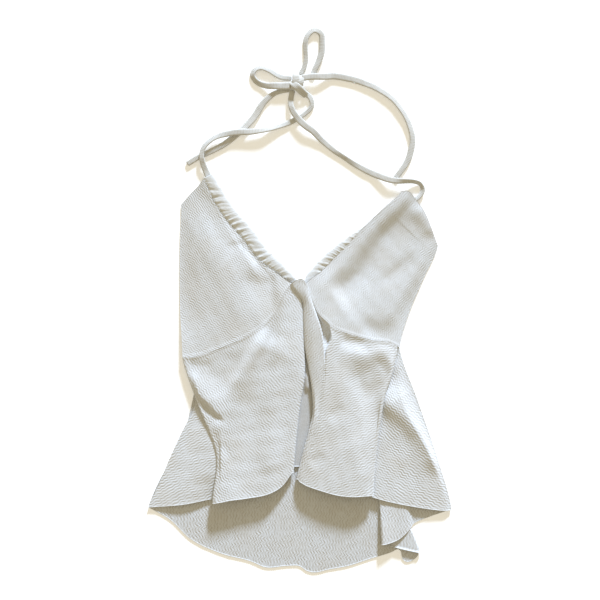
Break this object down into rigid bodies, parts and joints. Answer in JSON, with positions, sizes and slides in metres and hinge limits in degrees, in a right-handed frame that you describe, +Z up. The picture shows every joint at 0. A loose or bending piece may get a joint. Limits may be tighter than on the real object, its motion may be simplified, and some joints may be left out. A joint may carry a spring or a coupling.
{
  "type": "halter neck top",
  "caption": "Cream crinkle-knit halter top laid flat: cups on a gathered drawstring neckline, flared skirt with a centre pleat, longer back, ties knotted in a bow.",
  "frame": {"origin": "centre of the cloth's plan, without its ties, on the surface that it lies on", "axes": "+Y from the hem towards the bow, +X to the right of the laid garment, +Z up from the surface"},
  "size_m": [0.4238, 0.7599, 0.0167],
  "materials": {
    "cloth": "matte crinkle knit, ivory",
    "casing": "matte knit, gathered, ivory",
    "tie": "matte knit strap, ivory"
  },
  "bodies": {
    "root": {"cup_left": "cloth", "cup_right": "cloth", "casing_left": "casing", "casing_right": "casing", "skirt_left": "cloth", "skirt_right": "cloth", "pleat_underlay": "cloth", "back_panel": "cloth", "tie_left": "tie", "tie_right": "tie", "tail_left": "tie", "tail_right": "tie", "bow_loop_left": "tie", "bow_loop_top": "tie", "bow_knot": "tie"}
  },
  "joints": []
}
